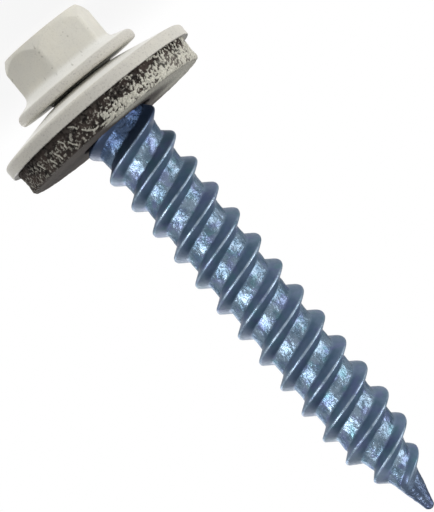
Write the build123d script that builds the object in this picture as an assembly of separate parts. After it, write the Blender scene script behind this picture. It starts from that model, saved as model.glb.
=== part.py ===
"""Roofing screw with a hexagon washer head, a dished sealing washer and a coarse twin-start thread.

The screw stands on its head with its point up. The origin is the middle of the head's end face,
and +Z runs along the screw to the point.
"""

import os
from math import ceil, cos, pi, radians, sin, tan

from build123d import *

# Hexagon and its flange, in millimetres and degrees
HEX_FLATS = 8.0
HEX_HEIGHT = 3.95
HEX_END_DIAMETER = 7.6
HEX_CHAMFER_ANGLE = 54
FLANGE_DIAMETER = 12.2
FLANGE_SLOPE = 18
FLANGE_RIM = 0.85
FLANGE_EDGE_BREAK = 0.25

# Neck under the flange
NECK_DIAMETER = 5.95
NECK_CONE_HEIGHT = 0.35
NECK_CONE_WIDTH = 0.3
NECK_LENGTH = 3.5

# Shank and twin-start thread
SHANK_LENGTH = 46.3
BLANK_DIAMETER = 5.8
ROOT_DIAMETER = 5.0
THREAD_DIAMETER = 6.9
CREST_SPACING = 2.79
THREAD_STARTS = 2
RIDGE_WIDTH = 1.4
CREST_WIDTH = 0.2
THREAD_ANGLE = 86
THREAD_RUN_IN = 2.0
BLANK_TAPER = 7.0

# Gimlet point
POINT_LENGTH = 8.4
POINT_TIP_RADIUS = 0.36
POINT_NOSE_HEIGHT = 0.2
THREAD_STOP = 1.6
THREAD_FADE = 4.2

# Dished metal washer
WASHER_GAP = 0.45
WASHER_DIAMETER = 19.0
WASHER_THICKNESS = 1.15
WASHER_SLOPE = 12.5
WASHER_CROWN_LAND = 0.6
WASHER_BORE_CLEARANCE = 0.2
WASHER_EDGE_BREAK = 0.4

# Rubber seal bonded under the metal washer
SEAL_DIAMETER = 18.0
SEAL_DEPTH = 2.05
SEAL_EDGE_BREAK = 0.35
SEAL_BORE_CLEARANCE = 0.05

# Places along the screw that follow from the sizes above
FLANGE_RADIUS = FLANGE_DIAMETER / 2
NECK_RADIUS = NECK_DIAMETER / 2
HEX_CORNER_RADIUS = HEX_FLATS / 2 / cos(radians(30))
RIM_START = HEX_HEIGHT + (FLANGE_RADIUS - HEX_CORNER_RADIUS) * tan(radians(FLANGE_SLOPE))
FLANGE_UNDERSIDE = RIM_START + FLANGE_RIM
NECK_END = FLANGE_UNDERSIDE + NECK_LENGTH
TIP = FLANGE_UNDERSIDE + SHANK_LENGTH
LEAD = THREAD_STARTS * CREST_SPACING
THREAD_HEIGHT = (THREAD_DIAMETER - ROOT_DIAMETER) / 2
WASHER_RADIUS = WASHER_DIAMETER / 2
WASHER_TOP = FLANGE_UNDERSIDE + WASHER_GAP
WASHER_BORE_RADIUS = NECK_RADIUS + WASHER_BORE_CLEARANCE
SEAL_RADIUS = SEAL_DIAMETER / 2
SEAL_BORE_RADIUS = THREAD_DIAMETER / 2 + SEAL_BORE_CLEARANCE
WASHER_CROWN_RADIUS = SEAL_BORE_RADIUS + WASHER_CROWN_LAND

# Steps in one turn of the thread's faceted surface
FACETS_PER_TURN = 36


def ease(share):
    """Rises smoothly from 0 to 1 while share goes from 0 to 1."""
    share = min(max(share, 0), 1)
    return share * share * (3 - 2 * share)


def ring(points, broken=(), size=0):
    """Turns the outline through points, as (radius, height), about the screw's axis.

    The corners whose numbers are in broken are cut back by the given size along both sides.
    """
    outline = make_face(Polyline(*points, close=True))
    corners = [outline.vertices().sort_by_distance(points[number])[0] for number in broken]
    if corners:
        outline = chamfer(corners, size)
    return revolve(Plane.XZ * outline, Axis.Z)


def core_radius(z):
    """Radius of the shank between the ridges: the blank, then the thread's root, then the point."""
    to_tip = TIP - z
    if to_tip < POINT_LENGTH:
        share = max(to_tip, 0) / POINT_LENGTH
        return POINT_TIP_RADIUS + (ROOT_DIAMETER / 2 - POINT_TIP_RADIUS) * share
    narrowing = (BLANK_DIAMETER - ROOT_DIAMETER) / 2
    return BLANK_DIAMETER / 2 - narrowing * ease((z - NECK_END) / BLANK_TAPER)


def ridge_height(z):
    """Height of the ridges above the core: they run in below the neck and fade out on the point."""
    full = min(THREAD_DIAMETER / 2 - core_radius(z), THREAD_HEIGHT)
    run_in = ease((z - NECK_END) / THREAD_RUN_IN)
    fade_out = ease((TIP - z - THREAD_STOP) / THREAD_FADE)
    return full * run_in * fade_out


def thread_profile():
    """Profile of all starts over one lead, as (place along the axis, share of the ridge height).

    Each ridge has two sloping flanks and a narrow flat crest, and the root between two ridges is
    the straight core.
    """
    foot = RIDGE_WIDTH / 2
    crest = CREST_WIDTH / 2
    ridge = [(-foot, 0), (-crest, 1), (crest, 1), (foot, 0)]
    middles = [CREST_SPACING * (start + 0.5) for start in range(THREAD_STARTS)]
    return [(middle + place, share) for middle in middles for place, share in ridge]


def facets(lower, upper):
    """Surface between two lines of points, as two flat triangles for each step along them."""
    faces = []
    for a, b, c, d in zip(lower[:-1], lower[1:], upper[1:], upper[:-1]):
        for corners in ((a, b, c), (a, c, d)):
            faces.append(Face(Wire.make_polygon(corners, close=True)))
    return faces


def threaded_shank():
    """Solid under a strip of facets between each two neighbouring lines of the thread's profile.

    The closing strip joins the last line to the first line of the next turn, which leaves one
    step at each end. A flat face and a spiral strip close each step against the axis. Both steps
    lie beyond the shank's ends and are trimmed off.
    """
    profile = thread_profile()
    base = FLANGE_UNDERSIDE - 2 * LEAD
    turns = ceil((TIP - base) / LEAD) + 1
    steps = [step / FACETS_PER_TURN for step in range(FACETS_PER_TURN + 1)]
    last = len(profile) - 1

    def height(line, turn):
        return base + profile[line][0] + LEAD * turn

    def axis_point(line, turn):
        return Vector(0, 0, height(line, turn))

    def surface_point(line, turn):
        z = height(line, turn)
        radius = core_radius(z) + profile[line][1] * ridge_height(z)
        angle = 2 * pi * turn + radians(THREAD_ANGLE)
        return Vector(radius * cos(angle), radius * sin(angle), z)

    def one_turn(point, line, turn):
        return [point(line, turn + step) for step in steps]

    def strip(line, turn, next_line, next_turn):
        return facets(one_turn(surface_point, line, turn), one_turn(surface_point, next_line, next_turn))

    def step_faces(line, turn, corners):
        """Faces that close one end: corners is the profile of the step, from one turn to the next."""
        bottom, top = axis_point(line, turn), axis_point(line, turn + 1)
        flat = Face(Wire.make_polygon([bottom, *corners, top], close=True))
        return [flat, *facets(one_turn(axis_point, line, turn), one_turn(surface_point, line, turn))]

    first_step = [surface_point(line, 0) for line in range(len(profile))]
    last_step = [surface_point(line, turns) for line in range(len(profile))]
    faces = step_faces(0, 0, [*first_step, surface_point(0, 1)])
    faces += step_faces(last, turns - 1, [surface_point(last, turns - 1), *last_step])
    for turn in range(turns):
        for line in range(last):
            faces += strip(line, turn, line + 1, turn)
    for turn in range(turns - 1):
        faces += strip(last, turn, 0, turn + 1)
    return Solid(Shell(faces))


def shank_envelope():
    """Space from the flange to a blunt cone at the tip, which trims the shank to length."""
    reach = THREAD_DIAMETER
    shoulder = TIP - POINT_NOSE_HEIGHT
    points = [
        (0, FLANGE_UNDERSIDE),
        (reach, FLANGE_UNDERSIDE),
        (reach, shoulder),
        (POINT_TIP_RADIUS, shoulder),
        (0, TIP),
    ]
    return ring(points)


def hexagon():
    """Hexagon with its end face down, and the chamfer that leaves a round end face."""
    prism = extrude(RegularPolygon(HEX_CORNER_RADIUS, 6, rotation=30), RIM_START)
    reach = FLANGE_DIAMETER
    chamfer_height = (reach - HEX_END_DIAMETER / 2) * tan(radians(HEX_CHAMFER_ANGLE))
    points = [(0, 0), (HEX_END_DIAMETER / 2, 0), (reach, chamfer_height), (0, chamfer_height)]
    return prism & ring(points)


def head():
    """Hexagon on a flange with a sloping face, and the short cone that leads into the neck."""
    hub = FLANGE_RADIUS * tan(radians(FLANGE_SLOPE))
    points = [
        (0, RIM_START - hub),
        (FLANGE_RADIUS, RIM_START),
        (FLANGE_RADIUS, FLANGE_UNDERSIDE),
        (NECK_RADIUS + NECK_CONE_WIDTH, FLANGE_UNDERSIDE),
        (NECK_RADIUS, FLANGE_UNDERSIDE + NECK_CONE_HEIGHT),
        (NECK_RADIUS, NECK_END),
        (0, NECK_END),
    ]
    return hexagon() + ring(points, broken=[1, 2], size=FLANGE_EDGE_BREAK)


def screw():
    """Head, neck and threaded shank, formed from one piece of wire."""
    shank = threaded_shank() & shank_envelope()
    return head() + shank


def metal_washer():
    """Pressed washer: a flat crown round the bore and a conical skirt with a rounded outer edge."""
    drop = (WASHER_RADIUS - WASHER_CROWN_RADIUS) * tan(radians(WASHER_SLOPE))
    points = [
        (WASHER_BORE_RADIUS, WASHER_TOP),
        (WASHER_CROWN_RADIUS, WASHER_TOP),
        (WASHER_RADIUS, WASHER_TOP + drop),
        (WASHER_RADIUS, WASHER_TOP + drop + WASHER_THICKNESS),
        (WASHER_CROWN_RADIUS, WASHER_TOP + WASHER_THICKNESS),
        (WASHER_BORE_RADIUS, WASHER_TOP + WASHER_THICKNESS),
    ]
    return ring(points, broken=[2], size=WASHER_EDGE_BREAK)


def rubber_seal():
    """Rubber ring that fills the washer's dish and stands out below its edge."""
    slope = tan(radians(WASHER_SLOPE))
    dish_top = WASHER_TOP + WASHER_THICKNESS
    washer_edge = dish_top + (WASHER_RADIUS - WASHER_CROWN_RADIUS) * slope
    seal_rim = dish_top + (SEAL_RADIUS - WASHER_CROWN_RADIUS) * slope
    underside = washer_edge + SEAL_DEPTH
    points = [
        (SEAL_BORE_RADIUS, dish_top),
        (WASHER_CROWN_RADIUS, dish_top),
        (SEAL_RADIUS, seal_rim),
        (SEAL_RADIUS, underside),
        (SEAL_BORE_RADIUS, underside),
    ]
    return ring(points, broken=[3], size=SEAL_EDGE_BREAK)


PARTS = {"screw": screw, "metal_washer": metal_washer, "rubber_seal": rubber_seal}

os.makedirs("parts", exist_ok=True)
for name, make in PARTS.items():
    export_step(make(), f"parts/{name}.step")
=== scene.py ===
"""Looks of the roofing screw: painted head and washer, crinkled rubber seal and zinc-plated thread.

Lengths are in millimetres and turned into metres where a mesh is made. Heights run along the screw
from the head's end face at 0 to the point. A turn is an angle round the screw, in degrees, from the
side that faces the camera towards the lit side.
"""
import math
import random

import bmesh
import bpy
import numpy as np
from mathutils import Matrix, Vector, noise


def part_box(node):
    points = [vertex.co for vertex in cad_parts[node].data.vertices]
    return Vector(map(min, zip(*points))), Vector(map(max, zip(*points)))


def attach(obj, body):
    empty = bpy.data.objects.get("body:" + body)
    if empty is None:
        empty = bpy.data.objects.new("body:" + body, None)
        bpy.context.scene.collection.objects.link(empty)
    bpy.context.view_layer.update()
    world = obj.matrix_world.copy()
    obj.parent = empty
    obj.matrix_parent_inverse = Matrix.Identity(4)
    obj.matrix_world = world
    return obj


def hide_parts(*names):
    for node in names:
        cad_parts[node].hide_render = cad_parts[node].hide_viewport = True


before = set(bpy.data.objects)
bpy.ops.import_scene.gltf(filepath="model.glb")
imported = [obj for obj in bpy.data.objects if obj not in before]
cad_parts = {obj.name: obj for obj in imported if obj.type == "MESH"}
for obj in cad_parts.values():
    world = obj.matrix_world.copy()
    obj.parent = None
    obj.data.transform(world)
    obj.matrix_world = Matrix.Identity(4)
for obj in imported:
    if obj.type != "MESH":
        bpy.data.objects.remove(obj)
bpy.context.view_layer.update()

MM = 0.001
BODY = "root"
SEED = 7


def node_size(node):
    """Radius, bottom and top of a CAD node, in millimetres."""
    low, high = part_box(node)
    return (high.x - low.x) / 2 / MM, low.z / MM, high.z / MM


FLANGE_RADIUS, _, TIP = node_size("screw")
WASHER_RADIUS, WASHER_TOP, WASHER_EDGE = node_size("metal_washer")
SEAL_RADIUS, SEAL_TOP, SEAL_FACE = node_size("rubber_seal")

# Head, in millimetres and degrees
HEX_FLATS = 8.0
HEX_CORNER_ROUND = 0.5
HEX_END_RADIUS = 3.8
HEX_CHAMFER_ANGLE = 54
HEX_END_ROUND = 0.22
HEX_CHAMFER_ROUND = 0.35
RIM_START = 4.431
FLANGE_UNDERSIDE = 5.281
FLANGE_SLOPE = 18
FLANGE_FOOT_ROUND = 0.9
FLANGE_RIM_ROUND = 0.56
FLANGE_LIP_ROUND = 0.34
FLANGE_WAVE = 0.03
NECK_RADIUS = 2.975
NECK_CONE = 0.3
NECK_END = 8.781
HEAD_STEPS = 540

# Coat of paint on the head and the metal washer
PAINT_PEEL = 0.012
PEEL_LEVEL = 0.6
CHIP_DEPTH = 0.025
CHIP_RADII = (0.05, 0.1)

# Washer
WASHER_THICKNESS = 1.15
WASHER_SLOPE = 12.5
WASHER_CROWN_RADIUS = 4.1
WASHER_BORE_RADIUS = 3.175
WASHER_BORE_ROUND = 0.12
WASHER_CROWN_BEND = 1.2
WASHER_RIM_ROUND = 0.4
WASHER_LIP_ROUND = 0.14
WASHER_WAVE = 0.025
WASHER_TIP = 3.0
WASHER_TIP_TURN = 12
WASHER_TIP_HEIGHT = 6.3
WASHER_CHIPS = 18
WASHER_CHIP_HEIGHTS = (7.2, 7.9)
WASHER_STEPS = 540

# Seal
SEAL_BORE_RADIUS = 3.5
SEAL_EDGE_ROUND = 0.4
SEAL_HOLLOW = 0.1
CRINKLE_DEPTH = 0.13
STREAK_FILL = 0.7
EDGE_SAG = 0.07
FACE_SAG = 0.02
SEAL_STEPS = 900

# Shank, thread and point
BLANK_RADIUS = 2.9
BLANK_TAPER = 7.0
ROOT_RADIUS = 2.5
CREST_RADIUS = 3.45
PITCH = 2.79
STARTS = 2
LEAD = STARTS * PITCH
THREAD_ANGLE = 86
RUN_IN = 2.0
CREST_HALF = 0.1
RIDGE_HALF = 0.7
CREST_SOFTNESS = 0.06
ROOT_SOFTNESS = 0.15
HAMMERED_DEPTH = 0.04
RIDGE_WOBBLE = 0.015
POINT_LENGTH = 8.4
NOSE_RADIUS = 0.36
THREAD_STOP = 1.6
THREAD_FADE = 4.2
SHANK_OVERLAP = 0.4
TURN_STEPS = 180

# Chips in the head's paint, as (turn, height, radius)
HEAD_CHIPS = [
    (-14.5, 0.95, 0.10), (-13.5, 1.45, 0.13), (-14.0, 1.85, 0.10), (-13.5, 3.10, 0.10),
    (-13.5, 3.65, 0.12), (23.5, 1.85, 0.10), (23.5, 3.50, 0.10), (20.0, 3.80, 0.09),
    (-30.0, 3.40, 0.08), (5.0, 3.95, 0.12),
]
RANDOM_CHIPS = 26
HEX_CHIP_HEIGHTS = (0.7, 3.6)
RIM_CHIP_HEIGHTS = (4.5, 5.1)

# Hair-like streaks of paint on the seal's side, as lines of (turn, share of the side's height)
STREAKS = [
    [(-15.5, 0.48), (-13.5, 0.66), (-10.6, 0.80), (-3.0, 0.88), (6.0, 0.87)],
    [(-20.5, 0.06), (-18.2, 0.16), (-17.2, 0.32)],
    [(-25.8, 0.48), (-24.8, 0.66), (-22.6, 0.84)],
    [(-30.0, 0.20), (-28.5, 0.42), (-29.0, 0.60)],
    [(-37.2, 0.48), (-35.6, 0.64), (-35.2, 0.82)],
    [(-42.0, 0.52), (-40.2, 0.80)],
    [(-52.0, 0.30), (-50.0, 0.62)],
]
RANDOM_STREAKS = 16
STREAK_REACH = 0.088

# Colours of the paint
PAINT_WARM = (0.740, 0.715, 0.630)
PAINT_COOL = (0.705, 0.685, 0.615)
# Painted light: lighter paint on the head's fillet and flange slope and on the washer's dome
PAINT_LIT = (0.88, 0.87, 0.82)
PAINT_SPECK = (0.34, 0.315, 0.29)
PAINT_SPOT = (0.36, 0.33, 0.28)
PAINT_RIM = (0.475, 0.450, 0.430)
PAINT_CHIP = (0.30, 0.27, 0.23)
# Painted shade: nearly black, in the gap between flange and washer
PAINT_GAP_SHADE = (0.022, 0.020, 0.017)

# Colours of the rubber and of the paint dust on it
# Painted shade: the rubber's colour deep in the pits of its crinkles
RUBBER_PIT_SHADE = (0.012, 0.010, 0.009)
RUBBER_HIGH = (0.085, 0.075, 0.066)
RUBBER_BROWN = (0.075, 0.058, 0.050)
RUBBER_FACE_DARK = (0.040, 0.034, 0.030)
RUBBER_FACE_PALE = (0.078, 0.066, 0.058)
DUST_GREY = (0.45, 0.435, 0.37)
DUST_CREAM = (0.76, 0.74, 0.65)

# Colours of the zinc
ZINC_ROOT_DARK = (0.085, 0.130, 0.180)
ZINC_ROOT_PALE = (0.175, 0.235, 0.300)
ZINC_SPECK = (0.04, 0.065, 0.11)
ZINC_FLANK_DARK = (0.088, 0.150, 0.220)
ZINC_FLANK_PALE = (0.125, 0.180, 0.275)
ZINC_VIOLET = (0.115, 0.120, 0.275)
ZINC_TEAL = (0.075, 0.195, 0.215)
# Painted highlight: lighter colour along the crests
ZINC_CREST_HIGHLIGHT = (0.24, 0.30, 0.37)
ZINC_SHADED = (0.016, 0.030, 0.078)
# Painted shade: darker colour on the point
ZINC_POINT_SHADE = (0.042, 0.054, 0.095)
ZINC_TINT = (0.50, 0.52, 0.56)

# Camera: the photograph's frame, and where the screw lies in it
FRAME_HEIGHT_PX = 512
FOCAL_PX = 2989
SENSOR = 36
DISTANCE = 250
AXIS_ANGLE = 50.44
TIP_AWAY = 2.0
CAMERA_SIDE = -103
AIM_HEIGHT = 23.74
AIM_ASIDE = -0.434
CLIP_RANGE = (0.01, 10)

# Floor in metres. Its glowing share grows between two distances, from one share to another
FLOOR_HALF = 1.5
FLOOR_WHITE = 0.9
FLOOR_GLOW = (0.03, 0.16, 0.86, 1.0)
WORLD_DIM = 0.08


def mesh_object(name, points, faces):
    """Mesh piece from points in millimetres."""
    mesh = bpy.data.meshes.new(name)
    mesh.from_pydata([tuple(MM * c for c in point) for point in points], [], faces)
    mesh.validate()
    piece = bpy.data.objects.new(name, mesh)
    bpy.context.scene.collection.objects.link(piece)
    return piece


def places_of(piece):
    """Coordinates of the piece's points, in millimetres."""
    flat = np.empty(len(piece.data.vertices) * 3)
    piece.data.vertices.foreach_get("co", flat)
    return flat.reshape(-1, 3) / MM


def wrapped(turn):
    """The same turn between -180 and 180."""
    return (turn + 180) % 360 - 180


def polar(places):
    """Radius, turn and height of each place."""
    angle = np.degrees(np.arctan2(places[:, 1], places[:, 0]))
    return np.hypot(places[:, 0], places[:, 1]), wrapped(CAMERA_SIDE - angle), places[:, 2]


def move_points(piece, radius, turn, height):
    """Puts each point of the piece at its radius, turn and height."""
    angle = np.radians(CAMERA_SIDE - turn)
    places = np.stack([radius * np.cos(angle), radius * np.sin(angle), height], axis=1)
    piece.data.vertices.foreach_set("co", (places * MM).ravel())
    piece.data.update()


def tip_washer(piece):
    """Tips a loose washer on the neck: its rim goes towards the head on the side that is named."""
    angle = math.radians(CAMERA_SIDE - WASHER_TIP_TURN)
    hinge = Vector((-math.sin(angle), math.cos(angle), 0))
    pivot = Vector((0, 0, WASHER_TIP_HEIGHT)) * MM
    turn = Matrix.Rotation(math.radians(WASHER_TIP), 4, hinge)
    piece.data.transform(Matrix.Translation(pivot) @ turn @ Matrix.Translation(-pivot))


def mark(piece, name, values):
    """Stores one number for each point of the piece, for its material to read."""
    layer = piece.data.attributes.new(name, "FLOAT", "POINT")
    layer.data.foreach_set("value", np.asarray(values, dtype=np.float32))


def lumps(places, per_mm, seed, octaves=3):
    """Fractal noise from about -1 to 1 at each place, with per_mm lumps to the millimetre."""
    shift = Vector((17.3 * seed, -9.1 * seed, 4.7 * seed))
    fall_off, spacing = 0.7, 2.1
    return np.array([noise.fractal(Vector(place) * per_mm + shift, fall_off, spacing, octaves)
                     for place in places.tolist()])


def ease(share):
    """Smooth step from 0 to 1 while the share goes from 0 to 1."""
    share = np.clip(share, 0, 1)
    return share * share * (3 - 2 * share)


def rise(value, start, width):
    """0 up to the start, then smoothly up to 1 over the width."""
    return ease((value - start) / width)


def fall(value, end, width):
    """1 at first, then smoothly down to 0 over the width before the end."""
    return ease((end - value) / width)


def dress(piece, node, material):
    """Makes the piece stand for a CAD node and gives it its material."""
    piece.data.materials.append(material)
    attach(piece, BODY)
    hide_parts(node)


def rounded(corners, steps=5):
    """Outline through corners, given as (radius, height, rounding, pieces).

    Each rounding becomes an arc, and the straight stretch after a corner is cut into its pieces.
    An arc takes less than half of the stretches beside it.
    """
    most = 0.49
    first, last = Vector(corners[0][:2]), Vector(corners[-1][:2])
    ends = [(first, first, [])]
    for before, corner, after in zip(corners[:-2], corners[1:-1], corners[2:]):
        here = Vector(corner[:2])
        back = Vector(before[:2]) - here
        on = Vector(after[:2]) - here
        turn = math.pi - back.angle(on)
        reach = min(corner[2] * math.tan(turn / 2), most * back.length, most * on.length)
        start = here + back.normalized() * reach
        end = here + on.normalized() * reach
        arc = []
        for step in range(1, steps):
            share = step / steps
            arc.append(start.lerp(here, share).lerp(here.lerp(end, share), share))
        ends.append((start, end, arc))
    ends.append((last, last, []))
    line = [first]
    for corner, here, there in zip(corners, ends[:-1], ends[1:]):
        line += [here[1].lerp(there[0], piece / corner[3]) for piece in range(1, corner[3] + 1)]
        if there[2]:
            line += [*there[2], there[1]]
    return [tuple(point) for point in line]


def turned(outline_at, steps, closed):
    """Points and faces of a turned surface.

    Its outline, as (radius, height), may change with the angle. A closed outline makes a ring.
    """
    points = []
    for step in range(steps):
        angle = 2 * math.pi * step / steps
        points += [(r * math.cos(angle), r * math.sin(angle), z) for r, z in outline_at(angle)]
    count = len(points) // steps
    faces = []
    for step in range(steps):
        here = step * count
        there = (step + 1) % steps * count
        for i in range(count if closed else count - 1):
            j = (i + 1) % count
            faces.append((here + i, there + i, there + j, here + j))
    return points, faces


def merge_ends(piece):
    """Merges the points that lie on each other, closes what is open and smooths the shading."""
    edit = bmesh.new()
    edit.from_mesh(piece.data)
    bmesh.ops.remove_doubles(edit, verts=edit.verts, dist=1e-7)
    loose = [v for v in edit.verts if not v.link_faces]
    bmesh.ops.delete(edit, geom=loose, context="VERTS")
    rim = [e for e in edit.edges if e.is_boundary]
    if rim:
        bmesh.ops.holes_fill(edit, edges=rim)
    bmesh.ops.recalc_face_normals(edit, faces=edit.faces)
    edit.to_mesh(piece.data)
    edit.free()
    piece.data.shade_smooth()


def hexagon_radius(angle):
    """Distance from the axis to the hexagon's side, with rounded corners."""
    half_side = math.radians(30)
    off_corner = math.radians(abs(math.degrees(angle) % 60 - 30))
    centre = (HEX_FLATS / 2 - HEX_CORNER_ROUND) / math.cos(half_side)
    aside = centre * math.sin(off_corner)
    if aside < HEX_CORNER_ROUND:
        out = centre * math.cos(off_corner) + math.sqrt(HEX_CORNER_ROUND**2 - aside**2)
        if math.asin(aside / HEX_CORNER_ROUND) + off_corner < half_side:
            return out
    return HEX_FLATS / 2 / math.cos(half_side - off_corner)


def head_outline(angle):
    """Corners of the head at an angle, from the middle of its end face to the end of the neck."""
    side = hexagon_radius(angle)
    chamfer_top = (side - HEX_END_RADIUS) * math.tan(math.radians(HEX_CHAMFER_ANGLE))
    foot = RIM_START - (FLANGE_RADIUS - side) * math.tan(math.radians(FLANGE_SLOPE))
    wave = FLANGE_WAVE * (math.sin(3 * angle + 1) + 0.6 * math.sin(7 * angle + 2))
    return rounded([
        (0, 0, 0, 10),
        (HEX_END_RADIUS, 0, HEX_END_ROUND, 3),
        (side, chamfer_top, HEX_CHAMFER_ROUND, 34),
        (side, foot, FLANGE_FOOT_ROUND, 12),
        (FLANGE_RADIUS, RIM_START + wave, FLANGE_RIM_ROUND, 4),
        (FLANGE_RADIUS, FLANGE_UNDERSIDE, FLANGE_LIP_ROUND, 10),
        (NECK_RADIUS + NECK_CONE, FLANGE_UNDERSIDE, 0.2, 1),
        (NECK_RADIUS, FLANGE_UNDERSIDE + NECK_CONE, 0.3, 14),
        (NECK_RADIUS, NECK_END, 0, 1),
    ])


def chip_depth(radius, turn, height, chips):
    """How deep each point lies in a paint chip, from 0 to 1."""
    depth = np.zeros(len(radius))
    for chip_turn, chip_height, size in chips:
        aside = np.radians(wrapped(turn - chip_turn)) * radius
        away = np.hypot(aside, height - chip_height)
        depth = np.maximum(depth, ease(1.6 * (1 - away / size)))
    return depth


def rim_chip(draw, heights):
    """One chip anywhere round a rim between two heights."""
    return draw.uniform(-180, 180), draw.uniform(*heights), draw.uniform(*CHIP_RADII)


def random_chips(draw):
    """Chips along the hexagon's corners and on the rim of the flange, on all sides."""
    chips = []
    for number in range(RANDOM_CHIPS):
        if number % 2:
            corner = CAMERA_SIDE - 30 - 60 * draw.randrange(6)
            near_corner = corner + draw.gauss(0, 2)
            chips.append((near_corner, draw.uniform(*HEX_CHIP_HEIGHTS), draw.uniform(*CHIP_RADII)))
        else:
            chips.append(rim_chip(draw, RIM_CHIP_HEIGHTS))
    return chips


def make_head(material):
    """Hexagon, flange and neck, with painted shade under the flange and on the neck, and painted
    light on the fillet and the flange's slope.
    """
    points, faces = turned(head_outline, HEAD_STEPS, closed=False)
    piece = mesh_object("screw_head", points, faces)
    merge_ends(piece)
    places = places_of(piece)
    radius, turn, height = polar(places)
    chips = chip_depth(radius, turn, height, HEAD_CHIPS + random_chips(random.Random(SEED)))
    painted = rise(radius, 2, 1.5) * rise(height, 0, 0.3)
    peel = PAINT_PEEL * (lumps(places, 1.4, 1) - PEEL_LEVEL)
    move_points(piece, radius + (peel - CHIP_DEPTH * chips) * painted, turn, height)
    rim = rise(radius, 5.6, 0.35) * rise(height, 4.2, 0.3)
    # Painted shade on the neck and on the flange's underside, in the gap over the washer
    neck_shade = rise(height, FLANGE_UNDERSIDE - 0.05, 0.25) * (radius < 3.6)
    underside_shade = 0.3 * rise(height, 5.0, 0.3)
    mark(piece, "chip", chips)
    mark(piece, "grain", 0.15 + 0.85 * rim)
    mark(piece, "gap_shade", np.maximum(neck_shade, underside_shade))
    # Painted light on the fillet and the flange's slope, as if they were lit from below
    mark(piece, "painted_light", rise(height, 3.3, 0.5) * fall(height, 4.75, 0.5) * (1 - rim))
    dress(piece, "screw", material)


def washer_outline(angle):
    """Corners of the metal washer at an angle, round its section from the middle of the bore."""
    drop = (WASHER_RADIUS - WASHER_CROWN_RADIUS) * math.tan(math.radians(WASHER_SLOPE))
    below = WASHER_TOP + WASHER_THICKNESS
    wave = WASHER_WAVE * (math.sin(2 * angle + 0.5) + 0.7 * math.sin(5 * angle))
    middle = (WASHER_BORE_RADIUS, WASHER_TOP + WASHER_THICKNESS / 2, 0, 1)
    line = rounded([
        middle,
        (WASHER_BORE_RADIUS, WASHER_TOP, WASHER_BORE_ROUND, 3),
        (WASHER_CROWN_RADIUS, WASHER_TOP, WASHER_CROWN_BEND, 22),
        (WASHER_RADIUS, WASHER_TOP + drop + wave, WASHER_RIM_ROUND, 7),
        (WASHER_RADIUS, WASHER_TOP + drop + WASHER_THICKNESS, WASHER_LIP_ROUND, 5),
        (WASHER_CROWN_RADIUS, below, WASHER_CROWN_BEND, 3),
        (WASHER_BORE_RADIUS, below, WASHER_BORE_ROUND, 1),
        middle,
    ])
    return line[:-1]


def make_washer(material):
    """Dished washer with painted shade round its bore, on the crown under the flange and along its
    lower lip, and painted light on its dome.
    """
    points, faces = turned(washer_outline, WASHER_STEPS, closed=True)
    piece = mesh_object("sealing_washer", points, faces)
    merge_ends(piece)
    places = places_of(piece)
    radius, turn, height = polar(places)
    painted = rise(radius, 4, 2) * fall(height, WASHER_EDGE - 0.15, 0.3)
    peel = PAINT_PEEL * (lumps(places, 1.2, 2) - PEEL_LEVEL)
    move_points(piece, radius + peel * painted, turn, height)
    rim = rise(radius, 9.1, 0.25)
    draw = random.Random(SEED + 1)
    chips = [rim_chip(draw, WASHER_CHIP_HEIGHTS) for _ in range(WASHER_CHIPS)]
    # Painted shade on the crown under the flange, round the bore and along the lower lip; the
    # crown's shade also takes the greyer, speckled rim tone
    patchy = lumps(places, 0.8, 9)
    crown_shade = fall(radius, 5.4, 1.0) * (0.35 + 0.3 * patchy)
    shade_mask = fall(radius, 4.5 + 0.3 * patchy, 0.6)
    lip_shade = 0.8 * rise(height, WASHER_EDGE - 0.16, 0.16)
    mark(piece, "chip", chip_depth(radius, turn, height, chips) * rim)
    mark(piece, "grain", np.clip(0.15 + 0.6 * rim + crown_shade, 0, 1))
    # Painted light: the whole dome is made lighter, all but the rim
    mark(piece, "painted_light", 0.95 * fall(radius, 9.3, 0.5))
    mark(piece, "gap_shade", np.clip(np.maximum.reduce([0.5 * crown_shade, lip_shade, shade_mask]), 0, 1))
    tip_washer(piece)
    dress(piece, "metal_washer", material)


def seal_outline(angle):
    """Corners of the seal's section, which is the same at every angle, from a point in the bore."""
    edge = SEAL_TOP + (SEAL_RADIUS - WASHER_CROWN_RADIUS) * math.tan(math.radians(WASHER_SLOPE))
    in_bore = (SEAL_BORE_RADIUS, SEAL_TOP + 1, 0, 1)
    line = rounded([
        in_bore,
        (SEAL_BORE_RADIUS, SEAL_TOP, 0.1, 1),
        (WASHER_CROWN_RADIUS, SEAL_TOP, 0.1, 2),
        (SEAL_RADIUS, edge, 0.05, 34),
        (SEAL_RADIUS, SEAL_FACE, SEAL_EDGE_ROUND, 26),
        (SEAL_BORE_RADIUS, SEAL_FACE, 0.2, 3),
        in_bore,
    ])
    return line[:-1]


def streak_lines(draw):
    """The streaks that the camera sees, and more of their kind on the other sides."""
    lines = list(STREAKS)
    for _ in range(RANDOM_STREAKS):
        turn = draw.uniform(70, 300)
        share = draw.uniform(0.1, 0.6)
        lean = draw.uniform(-3, 3)
        length = draw.uniform(0.15, 0.35)
        bend = (turn + 0.6 * lean, share + 0.6 * length)
        lines.append([(turn, share), bend, (turn + lean, share + length)])
    return lines


def streak_cover(turn, share, side_height, draw):
    """How much of each point of the seal's side a streak covers, from 0 to 1."""
    cover = np.zeros(len(turn))
    for line in streak_lines(draw):
        for (turn_a, share_a), (turn_b, share_b) in zip(line[:-1], line[1:]):
            aside = np.radians(wrapped(turn - turn_a)) * SEAL_RADIUS
            down = (share - share_a) * side_height
            run_aside = math.radians(turn_b - turn_a) * SEAL_RADIUS
            run_down = (share_b - share_a) * side_height
            along = (aside * run_aside + down * run_down) / (run_aside**2 + run_down**2)
            along = np.clip(along, 0, 1)
            away = np.hypot(aside - along * run_aside, down - along * run_down)
            cover = np.maximum(cover, ease(1.5 * (1 - away / STREAK_REACH)))
    return cover


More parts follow.
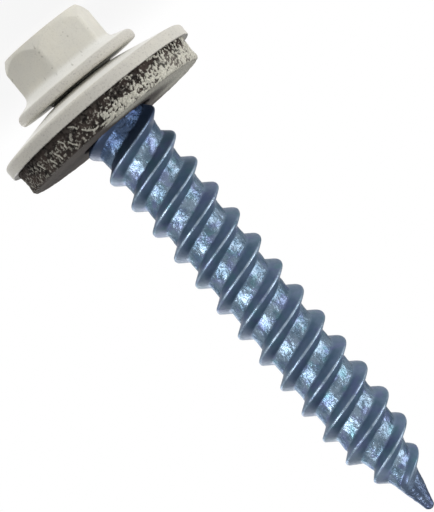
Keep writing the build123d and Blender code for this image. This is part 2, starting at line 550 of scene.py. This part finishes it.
def paint_dust(places, share, side, relief, fine):
    """Cover of paint dust on the seal, and how far each point belongs to its lower face.

    Dust lies on the high parts of the crinkles. The lit side has most of it, above all towards the
    lower edge, the back has less, and a thin veil lies on all sides.
    """
    radius, turn, height = polar(places)
    lit_side = rise(turn, -16, 22) * fall(turn, 168, 50)
    behind = 0.45 * rise(np.abs(turn), 120, 30)
    far_side = 0.3 * rise(turn, 20, 25)
    patches = lumps(places, 0.55, 5, 2)
    amount = 0.34 + far_side + (0.72 - far_side) * rise(share, 0.2, 0.6) + 0.25 * patches
    amount = amount * np.maximum(lit_side, behind)
    sprayed = rise(relief, 1.05 - amount, 0.42) * side * fall(share, 1.03, 0.05)
    veil = 0.13 + 0.6 * far_side + 0.42 * rise(fine, 0.05, 0.4)
    veil = veil * side * rise(share, 0.02, 0.3)
    under = rise(height, SEAL_FACE - 0.12, 0.1) * (1 - 0.6 * side)
    dusted_face = under * (0.04 + 0.6 * lit_side * rise(radius, 3, 4))
    return np.maximum.reduce([sprayed, veil, dusted_face]), under


def make_seal(material):
    """Rubber ring with a hollow, crinkled side and a soft lower edge."""
    points, faces = turned(seal_outline, SEAL_STEPS, closed=True)
    piece = mesh_object("seal_ring", points, faces)
    merge_ends(piece)
    places = places_of(piece)
    radius, turn, height = polar(places)
    side_height = SEAL_FACE - WASHER_EDGE
    share = (height - WASHER_EDGE) / side_height
    side = rise(radius, 8.4, 0.45)
    coarse = lumps(places, 1.5, 3, 2)
    fine = lumps(places, 4.2, 4, 3)
    relief = np.clip(0.5 + 0.45 * coarse + 0.75 * fine, 0, 1)
    streaks = streak_cover(turn, share, side_height, random.Random(SEED + 2)) * side
    dust, under = paint_dust(places, share, side, relief, fine)
    hollow = SEAL_HOLLOW * np.sin(np.pi * np.clip(share, 0, 1))
    crinkle = CRINKLE_DEPTH * (1 - relief) * (1 - STREAK_FILL * streaks)
    exposed = side * rise(share, -0.25, 0.2)
    below = rise(height, SEAL_FACE - 0.3, 0.25)
    sag = EDGE_SAG * (0.5 - 0.5 * coarse) * below * side + FACE_SAG * (1 - relief) * below
    move_points(piece, radius - exposed * (crinkle + hollow), turn, height - sag)
    mark(piece, "spray", np.clip(np.maximum(dust, streaks), 0, 1))
    mark(piece, "relief", relief)
    mark(piece, "under", under)
    tip_washer(piece)
    dress(piece, "rubber_seal", material)


def soft_above(value, softness):
    """Value where it is above 0, and 0 below, with a rounded bend between."""
    return (value + np.sqrt(value * value + softness * softness)) / 2


def ridge_share(off_crest):
    """Height of a ridge as a share, at a distance from its crest along the axis."""
    flank = (RIDGE_HALF - off_crest) / (RIDGE_HALF - CREST_HALF)
    return 1 - soft_above(1 - soft_above(flank, ROOT_SOFTNESS), CREST_SOFTNESS)


def core_radius(height):
    """Radius between the ridges: the blank, the thread's root, then the point with its nose."""
    to_tip = TIP - height
    narrowing = BLANK_RADIUS - ROOT_RADIUS
    blank = BLANK_RADIUS - narrowing * rise(height, NECK_END, BLANK_TAPER)
    cone = NOSE_RADIUS + (ROOT_RADIUS - NOSE_RADIUS) * to_tip / POINT_LENGTH
    nose = np.sqrt(np.clip(2 * NOSE_RADIUS * to_tip, 0, None))
    return np.where(to_tip < POINT_LENGTH, np.minimum(cone, nose), blank)


def ridge_height(height):
    """Height of the ridges: they run in below the neck and fade out on the point."""
    full = np.minimum(CREST_RADIUS - core_radius(height), CREST_RADIUS - ROOT_RADIUS)
    fade = fall(height, TIP - THREAD_STOP, THREAD_FADE)
    return full * rise(height, NECK_END, RUN_IN) * fade


def profile_places():
    """Places along one pitch, closer together at the crest and at the foot of the ridge."""
    half = [0, 0.05, 0.09, 0.12, 0.16, 0.24, 0.34, 0.44]
    half += [0.52, 0.58, 0.64, 0.7, 0.77, 0.86, 1.0, 1.2]
    left = [-place for place in half[:0:-1]]
    return [*left, *half, PITCH / 2]


def make_shank(material):
    """Thread as one sheet wound round the axis: each row of points makes one turn."""
    first = FLANGE_UNDERSIDE + PITCH / 2 - LEAD
    pitches = math.ceil((TIP - first) / PITCH) + 2 * STARTS
    profile = profile_places()
    places = np.array([first + PITCH * k + place for k in range(pitches) for place in profile])
    off_crest = np.abs(np.tile(profile, pitches))
    per_lead = STARTS * len(profile)
    steps = np.arange(TURN_STEPS)
    height = places[:, None] + LEAD * steps[None, :] / TURN_STEPS
    height = np.clip(height, NECK_END - SHANK_OVERLAP, TIP)
    angle = 2 * math.pi * steps[None, :] / TURN_STEPS + math.radians(THREAD_ANGLE)
    radius = core_radius(height) + ridge_share(off_crest)[:, None] * ridge_height(height)
    x, y = radius * np.cos(angle), radius * np.sin(angle)
    points = np.stack([x, y, height], axis=2).reshape(-1, 3)
    faces = []
    for row in range(len(places) - 1):
        for step in range(TURN_STEPS):
            here = row * TURN_STEPS + step
            beside = here + 1
            if step == TURN_STEPS - 1:
                beside = (row + per_lead) * TURN_STEPS
            if beside + TURN_STEPS < len(points):
                faces.append((here, beside, beside + TURN_STEPS, here + TURN_STEPS))
    piece = mesh_object("threaded_shank", points.tolist(), faces)
    merge_ends(piece)
    finish_shank(piece)
    dress(piece, "screw", material)


def finish_shank(piece):
    """Hammered unevenness of the core, and the marks that tell flank, crest and root apart."""
    places = places_of(piece)
    radius, turn, height = polar(places)
    angle = np.radians(CAMERA_SIDE - turn)
    wound = LEAD * (angle - math.radians(THREAD_ANGLE)) / (2 * math.pi)
    along = height - FLANGE_UNDERSIDE - PITCH / 2 - wound
    off_crest = np.abs((along + PITCH / 2) % PITCH - PITCH / 2)
    ridge = ridge_height(height)
    crest = fall(off_crest, 0.13, 0.07) * rise(ridge, 0, 0.6)
    flank = fall(off_crest, 0.86, 0.24) * (1 - crest) * rise(ridge, 0, 0.5)
    root = (1 - flank) * (1 - crest)
    uneven = lumps(places, 1.8, 6, 2)
    wobble = lumps(places, 0.7, 8, 2)
    body = fall(height, TIP - 0.2, 1.0) * (radius > 0.3)
    hammered = HAMMERED_DEPTH * (uneven - 0.4) * root
    shift = hammered + RIDGE_WOBBLE * (wobble - 0.6) * (crest + flank)
    move_points(piece, radius + shift * body, turn, height)
    mark(piece, "flank", flank)
    # Marks the crests for a painted highlight, broken up by noise
    mark(piece, "crest", crest * np.clip(0.55 + 0.9 * uneven, 0.05, 1))
    mark(piece, "root", root)
    mark(piece, "shaded", fall(height, 13.2, 2.4))
    # Painted shade on the point
    mark(piece, "point", rise(height, TIP - 4.2, 2))


class Surface:
    """Node material in the making. Its methods return the socket that carries their result."""

    def __init__(self, name):
        self.material = bpy.data.materials.new(name)
        self.material.use_nodes = True
        self.nodes = self.material.node_tree.nodes
        self.links = self.material.node_tree.links
        self.shader = self.nodes["Principled BSDF"]
        self.place = self.nodes.new("ShaderNodeTexCoord").outputs["Object"]

    def put(self, socket, value):
        """Links a socket to the input, or sets the input to a number or colour."""
        if isinstance(value, bpy.types.NodeSocket):
            self.links.new(value, socket)
        elif isinstance(value, tuple) and socket.type == "RGBA":
            socket.default_value = (*value, 1)
        else:
            socket.default_value = value

    def set(self, **inputs):
        """Sets the shader's inputs, named with _ for each space."""
        for name, value in inputs.items():
            self.put(self.shader.inputs[name.replace("_", " ")], value)

    def attribute(self, name):
        """The piece's mark of that name."""
        node = self.nodes.new("ShaderNodeAttribute")
        node.attribute_name = name
        return node.outputs["Fac"]

    def noise(self, per_mm, detail=3, roughness=0.55, shift=0):
        """Noise with per_mm lumps to the millimetre."""
        mapping = self.nodes.new("ShaderNodeMapping")
        mapping.inputs["Scale"].default_value = [per_mm / MM] * 3
        mapping.inputs["Location"].default_value = (shift, 2 * shift, 3 * shift)
        self.links.new(self.place, mapping.inputs["Vector"])
        node = self.nodes.new("ShaderNodeTexNoise")
        node.inputs["Scale"].default_value = 1
        node.inputs["Detail"].default_value = detail
        node.inputs["Roughness"].default_value = roughness
        self.links.new(mapping.outputs[0], node.inputs["Vector"])
        return node.outputs[0]

    def between(self, value, low, high, to_low=0, to_high=1):
        """Value spread smoothly from the range low to high over the range to_low to to_high."""
        node = self.nodes.new("ShaderNodeMapRange")
        node.interpolation_type = "SMOOTHSTEP"
        names = ("Value", "From Min", "From Max", "To Min", "To Max")
        for name, number in zip(names, (value, low, high, to_low, to_high)):
            self.put(node.inputs[name], number)
        return node.outputs[0]

    def maths(self, operation, first, second):
        """Result of a maths node."""
        node = self.nodes.new("ShaderNodeMath")
        node.operation = operation
        self.put(node.inputs[0], first)
        self.put(node.inputs[1], second)
        return node.outputs[0]

    def times(self, first, second):
        """Product of two values."""
        return self.maths("MULTIPLY", first, second)

    def plus(self, first, second):
        """Sum of two values."""
        return self.maths("ADD", first, second)

    def mix(self, share, first, second):
        """Colour that goes from the first to the second with the share."""
        node = self.nodes.new("ShaderNodeMix")
        node.data_type = "RGBA"
        for socket in node.inputs:
            if socket.type == "VALUE" and socket.name == "Factor" and socket.enabled:
                self.put(socket, share)
            if socket.type == "RGBA" and socket.name == "A":
                self.put(socket, first)
            if socket.type == "RGBA" and socket.name == "B":
                self.put(socket, second)
        return next(socket for socket in node.outputs if socket.type == "RGBA")

    def bump(self, height, depth_mm, strength, under=None):
        """Normal of a relief of that depth, on top of another bump where one is given."""
        node = self.nodes.new("ShaderNodeBump")
        node.inputs["Distance"].default_value = depth_mm * MM
        self.put(node.inputs["Strength"], strength)
        self.put(node.inputs["Height"], height)
        if under:
            self.links.new(under, node.inputs["Normal"])
        return node.outputs[0]


def paint_material():
    """Off-white powder coat: soft orange peel, fine grain and chips, painted shade on the neck and
    under the flange, and painted light where the pieces are marked for it.
    """
    s = Surface("off_white_paint")
    grain = s.attribute("grain")
    fine = s.noise(6.5, 3, 0.65)
    cloud = s.between(s.noise(0.45, 4), 0.35, 0.65)
    base = s.mix(cloud, PAINT_WARM, PAINT_COOL)
    # Painted light where the piece is marked for it
    base = s.mix(s.attribute("painted_light"), base, PAINT_LIT)
    speck = s.times(s.between(fine, 0.50, 0.72), s.plus(s.times(grain, 0.55), 0.08))
    base = s.mix(speck, base, PAINT_SPECK)
    spots = s.between(s.noise(2.4, 4, 0.6, shift=5), 0.66, 0.76, 0, 0.35)
    base = s.mix(spots, base, PAINT_SPOT)
    base = s.mix(s.between(grain, 0.3, 1, 0, 0.33), base, PAINT_RIM)
    base = s.mix(s.times(s.attribute("chip"), 0.5), base, PAINT_CHIP)
    # Painted shade, nearly black, where the piece lies in the gap between flange and washer
    shade_mask = s.plus(s.attribute("gap_shade"), s.plus(fine, -0.5))
    base = s.mix(s.between(shade_mask, 0.15, 0.85, 0, 0.93), base, PAINT_GAP_SHADE)
    roughness = s.between(s.noise(1.3), 0.3, 0.7, 0.38, 0.56)
    peel = s.bump(s.noise(2.6, 2, 0.5), 0.035, 0.55)
    normal = s.bump(fine, 0.012, s.plus(s.times(grain, 0.7), 0.25), peel)
    s.set(Base_Color=base, Roughness=roughness, Normal=normal)
    s.set(Specular_IOR_Level=0.22)
    return s.material


def rubber_material():
    """Dark rubber, with painted shade in the pits of its crinkles and cream paint dust caught on
    them.
    """
    s = Surface("seal_rubber")
    fine = s.noise(7, 4, 0.65)
    ragged = s.plus(s.attribute("spray"), s.times(s.plus(fine, -0.5), 0.55))
    # Painted shade: darker in the crinkles' pits, lighter on their high parts where dust catches
    high = s.between(s.attribute("relief"), 0.25, 0.9)
    pit_shaded = s.mix(high, RUBBER_PIT_SHADE, RUBBER_HIGH)
    brown = s.mix(s.between(s.noise(0.9), 0.35, 0.65), pit_shaded, RUBBER_BROWN)
    face = s.mix(s.between(fine, 0.3, 0.7), RUBBER_FACE_DARK, RUBBER_FACE_PALE)
    base = s.mix(s.times(s.attribute("under"), 0.85), brown, face)
    dust = s.mix(s.between(fine, 0.35, 0.65), DUST_GREY, DUST_CREAM)
    base = s.mix(s.between(ragged, 0.15, 0.85), base, dust)
    roughness = s.between(fine, 0.3, 0.7, 0.6, 0.85)
    s.set(Base_Color=base, Roughness=roughness, Normal=s.bump(fine, 0.05, 0.8))
    s.set(Specular_IOR_Level=0.08)
    return s.material


def zinc_material():
    """Blue-grey zinc: smooth darker flanks, crests with a painted highlight and a hammered root.

    It has violet and teal tints, and painted shade near the neck and on the point.
    """
    s = Surface("blue_zinc")
    flank = s.attribute("flank")
    crest = s.attribute("crest")
    fine = s.noise(4.5, 4, 0.65)
    patches = s.between(s.noise(1.1, 4, 0.6), 0.35, 0.65)
    root = s.mix(patches, ZINC_ROOT_DARK, ZINC_ROOT_PALE)
    root = s.mix(s.between(fine, 0.55, 0.75, 0, 0.55), root, ZINC_SPECK)
    clouds = s.between(s.noise(0.7, shift=2), 0.35, 0.65)
    base = s.mix(flank, root, s.mix(clouds, ZINC_FLANK_DARK, ZINC_FLANK_PALE))
    violet = s.between(s.noise(0.8, shift=7), 0.50, 0.66, 0, 0.4)
    base = s.mix(violet, base, ZINC_VIOLET)
    teal = s.between(s.noise(0.8, shift=11), 0.54, 0.70, 0, 0.4)
    base = s.mix(teal, base, ZINC_TEAL)
    # Painted highlight: a lighter colour along the crests
    base = s.mix(crest, base, ZINC_CREST_HIGHLIGHT)
    base = s.mix(s.times(s.attribute("shaded"), 0.8), base, ZINC_SHADED)
    # Painted shade: the point is made darker
    base = s.mix(s.times(s.attribute("point"), 0.75), base, ZINC_POINT_SHADE)
    dull = s.between(s.noise(0.9, shift=13), 0.44, 0.56, 0.3, 0)
    roughness = s.plus(s.between(fine, 0.3, 0.7, 0.2, 0.36), s.times(flank, 0.12))
    roughness = s.plus(roughness, s.times(crest, dull))
    hammered = s.noise(2.4, 2, 0.5, shift=3)
    dents = s.bump(hammered, 0.08, s.between(s.attribute("root"), 0, 1, 0.15, 1.0))
    normal = s.bump(fine, 0.045, s.between(flank, 0, 1, 0.9, 0.12), dents)
    metallic = s.between(flank, 0, 1, 1, 0.4)
    s.set(Base_Color=base, Roughness=roughness, Normal=normal, Metallic=metallic)
    s.set(Specular_Tint=ZINC_TINT)
    return s.material


def camera_axes():
    """Right, up and view directions of the camera, and the direction of the lit side."""
    side = math.radians(CAMERA_SIDE)
    away = math.radians(TIP_AWAY)
    lean = math.radians(AXIS_ANGLE)
    level_view = Vector((-math.cos(side), -math.sin(side), 0))
    axis = Vector((0, 0, 1))
    across = axis.cross(level_view)
    view = level_view * math.cos(away) + axis * math.sin(away)
    along = axis * math.cos(away) - level_view * math.sin(away)
    right = along * math.cos(lean) + across * math.sin(lean)
    up = across * math.cos(lean) - along * math.sin(lean)
    return right, up, view, across


def add_camera():
    """Camera at the photograph's viewing angle, in line with the screw's middle."""
    right, up, view, across = camera_axes()
    target = Vector((0, 0, AIM_HEIGHT)) + across * AIM_ASIDE
    data = bpy.data.cameras.new("camera")
    data.sensor_width = SENSOR
    data.lens = SENSOR * FOCAL_PX / FRAME_HEIGHT_PX
    data.clip_start, data.clip_end = CLIP_RANGE
    camera = bpy.data.objects.new("camera", data)
    bpy.context.scene.collection.objects.link(camera)
    turn = Matrix((right, up, -view)).transposed()
    camera.matrix_world = Matrix.Translation((target - view * DISTANCE) * MM) @ turn.to_4x4()
    bpy.context.scene.camera = camera


def add_floor():
    """White floor: it shows a soft shadow near the screw and is pure white farther out."""
    mesh = bpy.data.meshes.new("floor")
    signs = ((-1, -1), (1, -1), (1, 1), (-1, 1))
    corners = [(x * FLOOR_HALF, y * FLOOR_HALF, 0) for x, y in signs]
    mesh.from_pydata(corners, [], [(0, 1, 2, 3)])
    floor = bpy.data.objects.new("floor", mesh)
    bpy.context.scene.collection.objects.link(floor)
    material = bpy.data.materials.new("white_floor")
    material.use_nodes = True
    nodes, links = material.node_tree.nodes, material.node_tree.links
    nodes.clear()
    output = nodes.new("ShaderNodeOutputMaterial")
    mix = nodes.new("ShaderNodeMixShader")
    diffuse = nodes.new("ShaderNodeBsdfDiffuse")
    diffuse.inputs["Color"].default_value = (FLOOR_WHITE, FLOOR_WHITE, FLOOR_WHITE, 1)
    glow = nodes.new("ShaderNodeEmission")
    glow.inputs["Strength"].default_value = 1
    place = nodes.new("ShaderNodeTexCoord")
    away = nodes.new("ShaderNodeVectorMath")
    away.operation = "LENGTH"
    share = nodes.new("ShaderNodeMapRange")
    share.interpolation_type = "SMOOTHSTEP"
    for name, value in zip(("From Min", "From Max", "To Min", "To Max"), FLOOR_GLOW):
        share.inputs[name].default_value = value
    links.new(place.outputs["Object"], away.inputs[0])
    links.new(away.outputs["Value"], share.inputs["Value"])
    links.new(share.outputs[0], mix.inputs["Fac"])
    links.new(diffuse.outputs[0], mix.inputs[1])
    links.new(glow.outputs[0], mix.inputs[2])
    links.new(mix.outputs[0], output.inputs["Surface"])
    mesh.materials.append(material)


def add_world():
    """Dim light from all sides that the camera and shiny surfaces see as white."""
    world = bpy.data.worlds.new("studio")
    bpy.context.scene.world = world
    world.use_nodes = True
    nodes, links = world.node_tree.nodes, world.node_tree.links
    nodes.clear()
    output = nodes.new("ShaderNodeOutputWorld")
    mix = nodes.new("ShaderNodeMixShader")
    path = nodes.new("ShaderNodeLightPath")
    seen = path.outputs["Is Camera Ray"]
    for ray in ("Is Transmission Ray", "Is Glossy Ray"):
        either = nodes.new("ShaderNodeMath")
        either.operation = "MAXIMUM"
        links.new(seen, either.inputs[0])
        links.new(path.outputs[ray], either.inputs[1])
        seen = either.outputs[0]
    links.new(seen, mix.inputs["Fac"])
    for place, strength in ((1, WORLD_DIM), (2, 1)):
        background = nodes.new("ShaderNodeBackground")
        background.inputs["Color"].default_value = (1, 1, 1, 1)
        background.inputs["Strength"].default_value = strength
        links.new(background.outputs[0], mix.inputs[place])
    links.new(mix.outputs[0], output.inputs["Surface"])


def add_light(name, turn, height, distance, size, radiance, only_gloss=False):
    """Softbox of the size (width, height), in millimetres, that faces the middle of the screw."""
    width, tall = size
    data = bpy.data.lights.new(name, "AREA")
    data.shape = "RECTANGLE"
    data.size = width * MM
    data.size_y = tall * MM
    data.energy = radiance * math.pi * data.size * data.size_y
    light = bpy.data.objects.new(name, data)
    bpy.context.scene.collection.objects.link(light)
    angle = math.radians(CAMERA_SIDE - turn)
    place = Vector((distance * math.cos(angle), distance * math.sin(angle), height))
    light.location = place * MM
    light.rotation_mode = "QUATERNION"
    light.rotation_quaternion = (place - Vector((0, 0, TIP / 2))).to_track_quat("Z", "Y")
    light.visible_diffuse = not only_gloss


def add_lights():
    """Key light on the lit side, a strip for the thread's gloss, and soft light from elsewhere."""
    add_light("key", turn=68, height=115, distance=250, size=(120, 220), radiance=4.8)
    add_light("near_strip", turn=-42, height=60, distance=250, size=(70, 200), radiance=13,
              only_gloss=True)
    add_light("back_fill", turn=-150, height=130, distance=300, size=(160, 200), radiance=3.2)
    add_light("overhead", turn=0, height=420, distance=30, size=(260, 260), radiance=1.3)


off_white = paint_material()
make_head(off_white)
make_washer(off_white)
make_seal(rubber_material())
make_shank(zinc_material())
add_camera()
add_floor()
add_world()
add_lights()
bpy.context.scene.view_settings.view_transform = "Standard"
